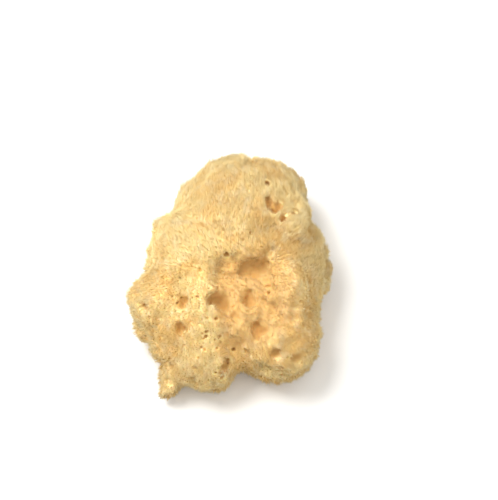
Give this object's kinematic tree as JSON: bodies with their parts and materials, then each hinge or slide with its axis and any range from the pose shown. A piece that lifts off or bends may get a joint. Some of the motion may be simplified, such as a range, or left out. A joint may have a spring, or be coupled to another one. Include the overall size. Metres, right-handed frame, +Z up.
{
  "type": "sea sponge",
  "caption": "Dry natural sea sponge: a lumpy, porous golden dome with a brow over a rough hollow, ragged canal mouths and a flat cut underneath.",
  "frame": {"origin": "middle of the sponge's box, at the level of the flat cut that it rests on", "axes": "+Z up out of the cut, +Y along the length from the lobed foot to the crown, +X to the right as the camera sees it from above the foot"},
  "size_m": [0.085, 0.099, 0.054],
  "materials": {
    "sponge": "matt, dry and fibrous"
  },
  "bodies": {
    "root": {"sponge": "sponge"}
  },
  "joints": []
}
